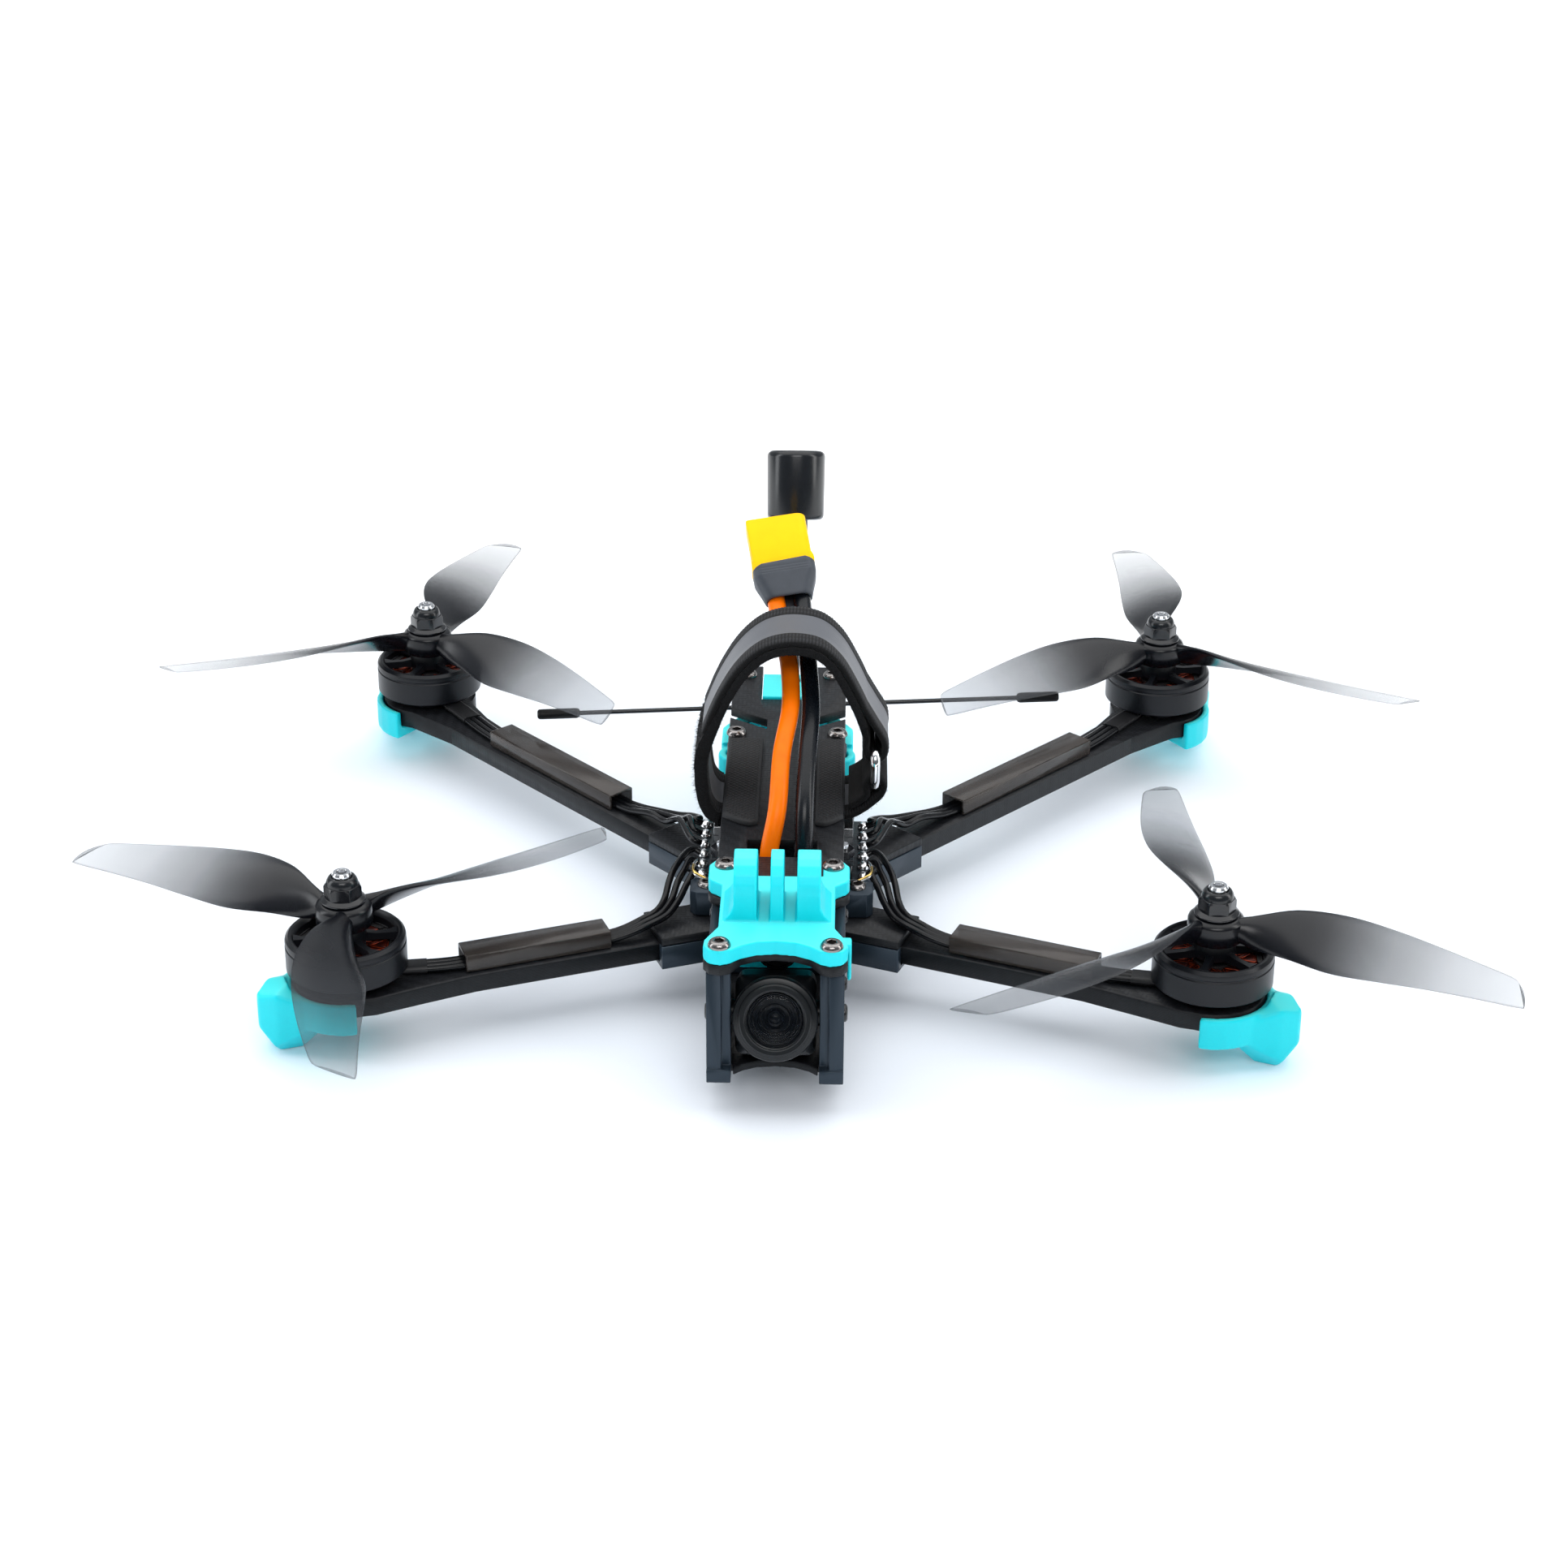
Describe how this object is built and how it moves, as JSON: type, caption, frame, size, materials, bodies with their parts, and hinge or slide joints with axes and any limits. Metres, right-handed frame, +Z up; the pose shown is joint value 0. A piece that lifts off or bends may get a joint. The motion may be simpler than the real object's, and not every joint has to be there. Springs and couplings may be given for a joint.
{
  "type": "racing drone",
  "caption": "Six-inch racing quadcopter with carbon arms, camera cage, printed bumpers and mounts, three-bladed propellers, battery strap and leads.",
  "frame": {"origin": "on the ground under the middle of the four motors, at the centre of the bounding box base", "axes": "+Z up, -Y towards the camera at the nose, +X towards the propellers on the side that is on the right when the nose faces the viewer"},
  "size_m": [0.3543, 0.3179, 0.1028],
  "materials": {
    "carbon": "satin woven carbon sheet",
    "slate_aluminium": "satin anodised slate blue-grey",
    "printed_cyan": "matte printed with fine layer lines",
    "motor_bell": "satin black anodised",
    "motor_windings": "enamelled copper windings on a black base",
    "propeller_smoke": "clear smoke grey, darker at the hub",
    "nut_black": "black anodised",
    "smoked_cover": "smoked translucent brown-grey",
    "wire_black": "glossy silicone",
    "circuit_board": "dark solder mask",
    "electronics_case": "satin dark grey",
    "black_plastic": "glossy black",
    "lens_glass": "coated black glass in a black ring",
    "strap_webbing": "woven, with a grey reflective stripe",
    "ring_chrome": "polished",
    "pad_rubber": "embossed grip pattern",
    "lead_orange": "glossy silicone",
    "lead_black": "glossy silicone",
    "connector_grey": "satin dark grey",
    "connector_yellow": "satin moulded"
  },
  "bodies": {
    "airframe": {"bottom_plate": "carbon", "mid_plate": "carbon", "top_plate": "carbon", "arm_core": "slate_aluminium", "finger_mount": "printed_cyan", "cage_plate_left": "slate_aluminium", "cage_plate_right": "slate_aluminium", "rear_standoff_left": "slate_aluminium", "rear_standoff_right": "slate_aluminium", "esc_board": "circuit_board", "flight_controller": "circuit_board", "video_transmitter": "electronics_case", "capacitor": "electronics_case", "capacitor_holder": "printed_cyan", "battery_strap": "strap_webbing", "strap_ring": "ring_chrome", "battery_pad_left": "pad_rubber", "battery_pad_right": "pad_rubber", "lead_positive": "lead_orange", "lead_negative": "lead_black", "connector_cap": "connector_grey", "battery_connector": "connector_yellow", "tail_mount": "printed_cyan", "video_antenna": "black_plastic", "control_antenna": "black_plastic", "arm_front_left": "carbon", "bumper_front_left": "printed_cyan", "wire_cover_front_left": "smoked_cover", "motor_wires_front_left": "wire_black", "motor_stator_front_left": "motor_windings", "arm_front_right": "carbon", "bumper_front_right": "printed_cyan", "wire_cover_front_right": "smoked_cover", "motor_wires_front_right": "wire_black", "motor_stator_front_right": "motor_windings", "arm_rear_left": "carbon", "bumper_rear_left": "printed_cyan", "wire_cover_rear_left": "smoked_cover", "motor_wires_rear_left": "wire_black", "motor_stator_rear_left": "motor_windings", "arm_rear_right": "carbon", "bumper_rear_right": "printed_cyan", "wire_cover_rear_right": "smoked_cover", "motor_wires_rear_right": "wire_black", "motor_stator_rear_right": "motor_windings"},
    "rotor_front_left": {"motor_bell_front_left": "motor_bell", "propeller_front_left": "propeller_smoke", "propeller_nut_front_left": "nut_black"},
    "rotor_front_right": {"motor_bell_front_right": "motor_bell", "propeller_front_right": "propeller_smoke", "propeller_nut_front_right": "nut_black"},
    "rotor_rear_left": {"motor_bell_rear_left": "motor_bell", "propeller_rear_left": "propeller_smoke", "propeller_nut_rear_left": "nut_black"},
    "rotor_rear_right": {"motor_bell_rear_right": "motor_bell", "propeller_rear_right": "propeller_smoke", "propeller_nut_rear_right": "nut_black"},
    "camera": {"camera_body": "black_plastic", "camera_lens": "lens_glass"}
  },
  "joints": [
    {"name": "spin_front_left", "type": "hinge", "parent": "airframe", "child": "rotor_front_left", "pos_m": [-0.10524, -0.08291, 0.034], "axis": [0, 0, 1], "continuous": true},
    {"name": "spin_front_right", "type": "hinge", "parent": "airframe", "child": "rotor_front_right", "pos_m": [0.10524, -0.08291, 0.034], "axis": [0, 0, 1], "continuous": true},
    {"name": "spin_rear_left", "type": "hinge", "parent": "airframe", "child": "rotor_rear_left", "pos_m": [-0.10524, 0.08291, 0.034], "axis": [0, 0, 1], "continuous": true},
    {"name": "spin_rear_right", "type": "hinge", "parent": "airframe", "child": "rotor_rear_right", "pos_m": [0.10524, 0.08291, 0.034], "axis": [0, 0, 1], "continuous": true},
    {"name": "camera_tilt", "type": "hinge", "parent": "airframe", "child": "camera", "pos_m": [0, -0.1067, 0.0219], "axis": [-1, 0, 0], "range_deg": [-20, 30]}
  ]
}
